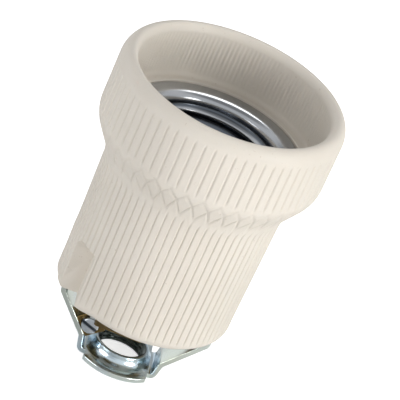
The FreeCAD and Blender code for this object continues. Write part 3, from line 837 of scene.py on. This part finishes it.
# %% Plate, collar and thread
BORE_R, COLLAR_WALL, COLLAR_TOP, FLARE = 4.46, 1.14, 3.2, 1.9
NIPPLE_PITCH, NIPPLE_DEPTH = 1.0, 0.42
PLATE_EDGE, COLLAR_EDGE = 0.15, 0.2
collar_out = BORE_R + COLLAR_WALL
rim_low, rim_in = (collar_out, COLLAR_TOP - COLLAR_EDGE), (collar_out - COLLAR_EDGE, COLLAR_TOP)
flat_r = PLATE_R - PLATE_EDGE
plate_rows = [(BORE_R + 0.45, 0.0), (flat_r, 0.0)]
plate_rows += quarter((flat_r, 0.0), (PLATE_R, 0.0), (PLATE_R, PLATE_EDGE), 3)[1:]
plate_rows += quarter((PLATE_R, STRIP - PLATE_EDGE), (PLATE_R, STRIP), (flat_r, STRIP), 3)
plate_rows += quarter((collar_out + FLARE, STRIP), (collar_out, STRIP), (collar_out, STRIP + FLARE), 10)
plate_rows += quarter(rim_low, (collar_out, COLLAR_TOP), rim_in, 4)
plate_rows += [(BORE_R + NIPPLE_DEPTH, COLLAR_TOP)]
thread_start = len(plate_rows)
plate_rows += [(BORE_R, z) for z in np.linspace(COLLAR_TOP - 0.3, 0.35, 46)]

plate_angles = even_turn(128)
plate_radius, plate_height = spread(plate_rows, len(plate_angles))
cycle = (plate_height - plate_angles / (2 * math.pi) * NIPPLE_PITCH) % NIPPLE_PITCH
groove = NIPPLE_DEPTH * (1 - np.abs(cycle * 2 - 1)) * 1.25 - 0.06
in_bore = (np.arange(len(plate_rows)) >= thread_start)[:, None]
plate_radius = plate_radius + np.clip(groove, 0, NIPPLE_DEPTH) * in_bore
bracket = lathe("bracket_strip", plate_radius, plate_height, plate_angles, ring=True)
print("plate and collar:", faces_of(bracket), "triangles")

# %% [markdown]
# Now the plate loses its two sides, the arms join it, and each foot gets the hole for its screw.

# %% Join the bracket
combine(bracket, pair_of_boxes((FLAT_X, -12, -1), (12, 12, 2)), "DIFFERENCE")
combine(bracket, [right_arm, left_arm], "UNION")
foot_holes = [rod("cut", (x, 0, 12), (x, 0, 16), HOLE_R) for x in (BRACKET_SCREW_X, -BRACKET_SCREW_X)]
combine(bracket, foot_holes, "DIFFERENCE")
smooth_shading(bracket, 32)
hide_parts("bracket")
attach(bracket, "holder")
print("bracket:", faces_of(bracket), "triangles")

# %% [markdown]
# ## Small metal pieces
#
# The screws, washers, nuts, terminal blocks and the contact spring keep their CAD shape, but real ones have
# slightly rounded edges. We copy each node's mesh, merge its doubled corners, join its flat triangles and
# bevel its sharp edges.

# %% Soften the edges of the small pieces
MADE_AFRESH = {"porcelain_body", "screw_shell", "bracket", "wire_screw_earth"}
EDGE_ROUND = 0.07
BLOCK_ROUND = {"terminal_neutral": 0.15, "terminal_live": 0.15, "earth_terminal": 0.18}


def softened(node, rounding):
    work = bmesh.new()
    work.from_mesh(frame["nodes"][node].data)
    bmesh.ops.remove_doubles(work, verts=work.verts, dist=1e-6)
    bmesh.ops.dissolve_limit(work, angle_limit=math.radians(0.5), verts=work.verts, edges=work.edges)
    sharp = [e for e in work.edges if len(e.link_faces) == 2 and e.calc_face_angle() > math.radians(35)]
    bmesh.ops.bevel(work, geom=sharp, offset=rounding * MM, segments=2, profile=0.5, affect="EDGES",
                    clamp_overlap=True)
    bmesh.ops.triangulate(work, faces=[f for f in work.faces if len(f.verts) > 4])
    mesh = bpy.data.meshes.new(node + "_soft")
    work.to_mesh(mesh)
    work.free()
    outward(mesh)
    piece = new_piece(node + "_soft", mesh)
    smooth_shading(piece, 40)
    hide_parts(node)
    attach(piece, body_of[node])
    return piece


small = {}
for node in slot_of:
    if node not in MADE_AFRESH:
        small[node] = softened(node, BLOCK_ROUND.get(node, EDGE_ROUND))
print("softened", len(small), "pieces,", sum(faces_of(p) for p in small.values()), "triangles")

# %% [markdown]
# ## The earth screw
#
# The earth screw is the one screw in plain view, so it is made afresh: a turned blank with rounded edges,
# laid along Y, with its slot cut by a boolean. The slot falls to the right.

# %% Earth screw
SLOT, SLOT_DEPTH, SLOT_TURN = 0.7, 0.9, math.radians(20)
SCREW_ROUND_R, SCREW_ROUND_Z, SCREW_TIP = 0.25, 0.3, 0.2
screw_low, screw_high = (Vector(corner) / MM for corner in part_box("wire_screw_earth"))
middle = (screw_low + screw_high) / 2
screw_r, screw_length = (screw_high.x - screw_low.x) / 2, screw_high.y - screw_low.y
face_edge, side_start = (screw_r - SCREW_ROUND_R, 0.0), (screw_r, SCREW_ROUND_Z)
blank = [face_edge] + quarter(side_start, (screw_r, 0.0), face_edge, 5)[::-1][1:]
blank += straight(side_start, (screw_r, screw_length - SCREW_TIP), 4)
blank += [(screw_r, screw_length - SCREW_TIP), (screw_r - SCREW_TIP, screw_length)]
earth_screw = lathe("wire_screw_earth_turned", *spread(blank, 64), even_turn(64), ring=False)
combine(earth_screw, [solid_box("cut", (-3, -SLOT / 2, -1), (3, SLOT / 2, SLOT_DEPTH))], "DIFFERENCE")
lay = Matrix.Translation(Vector((middle.x, screw_low.y, middle.z)) * MM)
lay = lay @ Matrix.Rotation(SLOT_TURN, 4, "Y") @ Matrix.Rotation(math.radians(-90), 4, "X")
earth_screw.data.transform(lay)
smooth_shading(earth_screw, 35)
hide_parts("wire_screw_earth")
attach(earth_screw, body_of["wire_screw_earth"])
print("earth screw:", round(2 * screw_r, 2), "mm thick,", round(screw_length, 2), "mm long")

# %% [markdown]
# ## Tooling marks and painted shade on the metals
#
# A clean metal looks false, so four of the finishes get a treatment of their own. The drawn collar has
# turning rings, and its bore is painted dark as shade. The rolled thread's roots and its deep end are
# painted dark as shade. The earth screw's slot and sides are painted dark as shade, so only its face stays
# bright. The earth block is painted darker as shade where it is well under the porcelain. Each treatment
# takes a colour and a bump height and gives both back.

# %% Treatments
RING_SCALE, RING_DEPTH = 9.0, 14.0
# STRAW and BLUE are the zinc's own tints. The third colour is painted shade for the collar's bore.
STRAW, BLUE, BORE_SHADE = (0.84, 0.89, 0.77), (0.56, 0.70, 0.82), (0.10, 0.115, 0.11)
# Painted shade for the thread's roots, the earth screw's slot and the brass under the body.
ROOT_SHADE, SLOT_SHADE, BRASS_SHADE = (0.07, 0.085, 0.105), (0.09, 0.10, 0.12), (0.13, 0.085, 0.035)


def place_in_mm(tree, place):
    """Distance from the holder's axis and height, both in mm."""
    x, y, z = (value / MM for value in axes(tree, place))
    return (x * x + y * y).math("SQRT"), z


def turned_collar(tree, place, colour, height):
    """Arms in straw, a bluer collar with fine turning rings, and painted shade in its bore."""
    radius, z = place_in_mm(tree, place)
    on_collar = radius.smooth(PLATE_R - 0.1, PLATE_R - 0.3) * window(z, STRIP + 0.02, COLLAR_TOP + 0.1, 0.05)
    across = add_node(tree, "ShaderNodeCombineXYZ", X=radius, Y=z)
    rings = noise(tree, across.outputs[0], scale=RING_SCALE, detail=1.0)
    # Painted shade: the bore is darkened.
    bore = radius.smooth(BORE_R + 0.7, BORE_R + 0.5) * z.smooth(0.0, 0.3)
    colour = mix(tree, z.smooth(2.5, 5.0) * 0.6, colour, STRAW)
    colour = mix(tree, on_collar * 0.6, colour, BLUE)
    return mix(tree, bore, colour, BORE_SHADE), height + rings * on_collar * RING_DEPTH


def dark_roots(tree, place, colour, height):
    """Painted shade: the rolled thread's roots and its deep end are darkened."""
    radius, z = place_in_mm(tree, place)
    # Painted shade in the roots and at the deep end.
    root = radius.smooth(ROOT_R - 0.75, ROOT_R - 0.3) * z.smooth(ROLL_TOP + 0.9, ROLL_TOP - 0.1)
    deep = z.smooth(ROLL_TOP - 4.0, ROLL_TOP - 14.0)
    return mix(tree, root.math("MAXIMUM", deep) * 0.88, colour, ROOT_SHADE), height


def dark_inside(tree, place, colour, height):
    """Painted shade: the earth screw's slot and sides are darkened."""
    inside = (axes(tree, place)[1] / MM).smooth(screw_low.y + 0.2, screw_low.y + 0.45)
    return mix(tree, inside * 0.85, colour, SLOT_SHADE), height


def shaded_under_body(tree, place, colour, height):
    """Painted shade: brass near the holder's axis is darkened, and the open end of the earth block stays
    bright.
    """
    radius, z = place_in_mm(tree, place)
    return mix(tree, radius.smooth(12.6, 10.6) * 0.85, colour, BRASS_SHADE), height


print("treatments ready, turning rings at scale", RING_SCALE)

# %% [markdown]
# ## The metals
#
# The metals share one recipe: a full metal whose colour and roughness vary a little, with marks that can be
# stretched along one direction. Zinc is blue-passivated, so its tint drifts from blue to pale green and
# straw. The shell's marks run round the axis. The terminals under the porcelain get a darker copy of the
# brass than the block on the arm, as painted shade.

# %% Metal finishes
def make_metal(name, stops, cloud_scale, rough, rough_spread, mark_depth,
               mark_scale=900.0, stretch=(1.0, 1.0, 1.0), treat=None):
    material, tree, shader, place = new_material(name)
    colour = ramp(tree, noise(tree, place, scale=cloud_scale, detail=3.0), stops)
    marks = noise(tree, place, scale=mark_scale, detail=3.0, stretch=stretch)
    height = marks + noise(tree, place, scale=900.0, detail=2.0) * 0.3
    if treat:
        colour, height = treat(tree, place, colour, height)
    roughness = marks * rough_spread + (rough - rough_spread / 2)
    feed(tree, shader, Base_Color=colour, Metallic=1.0, Roughness=roughness)
    bump(tree, height, distance=mark_depth, strength=0.4, shader=shader)
    return material


DRAWN_ALONG_Y = (1.0, 0.08, 1.0)
finishes["shell_metal"] = make_metal(
    "rolled_nickel", [(0.3, (0.37, 0.39, 0.42)), (0.7, (0.48, 0.49, 0.50))], cloud_scale=60.0, rough=0.19,
    rough_spread=0.06, mark_depth=0.003, mark_scale=500.0, stretch=(0.05, 0.05, 3.0), treat=dark_roots)
finishes["zinc"] = make_metal(
    "blue_zinc", [(0.3, (0.60, 0.71, 0.80)), (0.5, (0.76, 0.84, 0.84)), (0.7, (0.84, 0.89, 0.80))],
    cloud_scale=90.0, rough=0.17, rough_spread=0.04, mark_depth=0.002, treat=turned_collar)
# The block on the arm gets painted shade where it goes under the body.
finishes["brass"] = make_metal(
    "machined_brass", [(0.35, (0.44, 0.30, 0.10)), (0.65, (0.78, 0.57, 0.23))], cloud_scale=330.0, rough=0.26,
    rough_spread=0.14, mark_depth=0.012, stretch=DRAWN_ALONG_Y, treat=shaded_under_body)
# A darker copy of the brass: painted shade for the terminals under the porcelain.
finishes["brass_in_shade"] = make_metal(
    "brass_in_shade", [(0.35, (0.13, 0.095, 0.045)), (0.65, (0.22, 0.155, 0.07))], cloud_scale=330.0, rough=0.34,
    rough_spread=0.14, mark_depth=0.012, stretch=DRAWN_ALONG_Y)
# The earth screw's slot and sides get painted shade.
finishes["earth_screw"] = make_metal(
    "screw_with_painted_shade", [(0.35, (0.60, 0.66, 0.72)), (0.65, (0.76, 0.79, 0.82))], cloud_scale=300.0, rough=0.30,
    rough_spread=0.10, mark_depth=0.006, treat=dark_inside)
finishes["screw_zinc"] = make_metal(
    "zinc_screw", [(0.35, (0.56, 0.62, 0.68)), (0.65, (0.72, 0.75, 0.77))], cloud_scale=300.0, rough=0.28,
    rough_spread=0.14, mark_depth=0.012)
finishes["spring_bronze"] = make_metal(
    "spring_bronze", [(0.3, (0.58, 0.40, 0.20)), (0.7, (0.72, 0.52, 0.27))], cloud_scale=200.0, rough=0.24,
    rough_spread=0.12, mark_depth=0.01, mark_scale=800.0, stretch=(1.0, 0.1, 1.0))
print("finishes:", sorted(finishes))

# %% [markdown]
# Every piece now gets its finish. The small ones take the finish that is named like their material slot,
# apart from the two terminals under the porcelain.

# %% Dress the pieces
dress(porcelain, finishes["porcelain"])
dress(shell, finishes["shell_metal"])
dress(bracket, finishes["zinc"])
dress(earth_screw, finishes["earth_screw"])
for node, piece in small.items():
    # The terminals under the porcelain take the darker brass copy, as painted shade.
    dress(piece, finishes["brass_in_shade" if node in ("terminal_neutral", "terminal_live") else slot_of[node]])
print("dressed", len(small) + 4, "pieces")

# %% [markdown]
# ## The floor and what the metal mirrors
#
# The holder stands on a plain pale floor. Plated metal shows what is round it, and in an all-white room it
# would look like paper. So floor and room have dark panels, which only mirrored rays see. One formula of
# the bearing places them, so that the two agree where they meet.

# %% Dark panels and the floor
PANELS = ((-128.0, -76.0, 0.94), (-58.0, -4.0, 0.35), (90.0, 130.0, 0.9))   # from, to, how dark
PANEL_SOFT = 12.0
FLOOR_COLOUR, FLOOR_MIRRORED, FLOOR_GLOW = (0.88, 0.88, 0.88), (0.10, 0.13, 0.17), 0.7


def dark_panels(bearing):
    """How dark a mirrored direction is, by its bearing."""
    left, middle, right = (window(bearing, low, high, PANEL_SOFT) * dark for low, high, dark in PANELS)
    return left + middle + right


def make_floor():
    work = bmesh.new()
    bmesh.ops.create_grid(work, x_segments=1, y_segments=1, size=3.0)
    mesh = bpy.data.meshes.new("floor")
    work.to_mesh(mesh)
    work.free()
    floor = new_piece("floor", mesh)
    floor.location.z = -0.0001
    material, tree, shader, place = new_material("floor")
    x, y = axes(tree, place)[:2]
    path = add_node(tree, "ShaderNodeLightPath")
    glossy = Term(tree, path.outputs["Is Glossy Ray"])
    clear_of_holder = (x * x + y * y).math("SQRT").smooth(0.010, 0.016)
    dark = dark_panels(bearing_of(x, y)) * clear_of_holder
    colour = mix(tree, glossy * dark, FLOOR_COLOUR, FLOOR_MIRRORED)
    feed(tree, shader, Base_Color=colour, Roughness=0.9, Specular_IOR_Level=0.1)
    seen = Term(tree, path.outputs["Is Camera Ray"])
    glow = add_node(tree, "ShaderNodeEmission", Color=(1, 1, 1, 1), Strength=seen * FLOOR_GLOW)
    both = add_node(tree, "ShaderNodeAddShader")
    plug(tree, both.inputs[0], shader.outputs[0])
    plug(tree, both.inputs[1], glow.outputs[0])
    feed(tree, tree.nodes["Material Output"], Surface=both.outputs[0])
    dress(floor, material)
    return floor


floor = make_floor()
print("floor", [round(v, 2) for v in floor.dimensions])

# %% [markdown]
# ## The room
#
# For every ray but a mirrored one the room is even, and a little brighter low down than above. A mirrored
# ray sees the dark panels low at the sides, a dark band behind the holder and a grey ceiling. These give
# the rolled thread and the drawn collar their dark and bright stripes.

# %% Surroundings
WORLD_LEVEL, MIRROR_LEVEL = 0.56, 1.5


def make_world():
    world = bpy.data.worlds.new("studio")
    bpy.context.scene.world = world
    world.use_nodes = True
    tree = world.node_tree
    x, y, z = axes(tree, add_node(tree, "ShaderNodeTexCoord").outputs["Generated"])
    bearing = bearing_of(x, y)
    low = z.smooth(0.55, 0.35)
    behind = bearing.math("ABSOLUTE").smooth(115.0, 150.0) * window(z, 0.30, 0.66, 0.08) * 0.55
    overhead = z.smooth(0.80, 0.93) * 0.62
    mirrored = (dark_panels(bearing) * low).math("MAXIMUM", behind).math("MAXIMUM", overhead).flipped()
    even = z.smooth(0.1, 0.9) * -0.55 + 1.0
    path = add_node(tree, "ShaderNodeLightPath")
    glossy = Term(tree, path.outputs["Is Glossy Ray"])
    level = even + (mirrored * MIRROR_LEVEL - even) * glossy
    feed(tree, tree.nodes["Background"], Strength=level * WORLD_LEVEL, Color=(0.97, 0.985, 1.0, 1))
    return world


print("world:", len(make_world().node_tree.nodes), "nodes")

# %% [markdown]
# ## Three soft lights
#
# A large light at the right front shapes the round body, and a weaker one fills the left. Both are low, so
# the ribs read all the way down. A third, above and behind, touches the lip and draws a bright line in the
# shell's mouth.

# %% Lights
LIGHT_TARGET = Vector((0, 0, 0.04))


def soft_light(name, spot, size, power, colour):
    data = bpy.data.lights.new(name, "AREA")
    data.shape = "DISK"
    data.size = size
    data.energy = power
    data.color = colour
    light = bpy.data.objects.new(name, data)
    light.location = spot
    light.rotation_euler = (LIGHT_TARGET - Vector(spot)).to_track_quat("-Z", "Y").to_euler()
    bpy.context.scene.collection.objects.link(light)


soft_light("key", spot=(0.60, -0.42, 0.22), size=0.45, power=4.0, colour=(1.0, 0.99, 0.975))
soft_light("fill", spot=(-0.60, -0.42, 0.16), size=0.5, power=2.2, colour=(0.99, 0.99, 1.0))
soft_light("top", spot=(0.05, 0.30, 0.70), size=0.4, power=1.5, colour=(1.0, 1.0, 1.0))

# %% [markdown]
# ## The camera
#
# The camera looks down by about 28 degrees and is rolled by 24 degrees, so the holder leans to the right. A
# long lens keeps the perspective faint. We build the camera's matrix from its three directions.

# %% Camera
ELEVATION, AZIMUTH, ROLL = math.radians(28.3), math.radians(6.0), math.radians(24.2)
DISTANCE, LENS = 0.92, 430.4
AIM_HEIGHT, AIM_RIGHT, AIM_DOWN = 38.51, 2.42, 0.65
level_right = Vector((math.cos(AZIMUTH), -math.sin(AZIMUTH), 0))
level_up = Vector((math.sin(ELEVATION) * math.sin(AZIMUTH), math.sin(ELEVATION) * math.cos(AZIMUTH),
                   math.cos(ELEVATION)))
back = level_right.cross(level_up)
right = level_right * math.cos(ROLL) + level_up * math.sin(ROLL)
up = level_up * math.cos(ROLL) - level_right * math.sin(ROLL)
aim = (Vector((0, 0, AIM_HEIGHT)) + right * AIM_RIGHT - up * AIM_DOWN) * MM
spot = aim + back * DISTANCE
lens = bpy.data.cameras.new("camera")
lens.lens = LENS
lens.sensor_width = 36.0
lens.clip_start = 0.01
camera = bpy.data.objects.new("camera", lens)
bpy.context.scene.collection.objects.link(camera)
camera.matrix_world = Matrix.Translation(spot) @ Matrix((right, up, back)).transposed().to_4x4()
bpy.context.scene.camera = camera
bpy.context.scene.view_settings.view_transform = "Standard"
print("camera at", [round(v, 3) for v in spot])

# %% Update the view layer
bpy.context.view_layer.update()
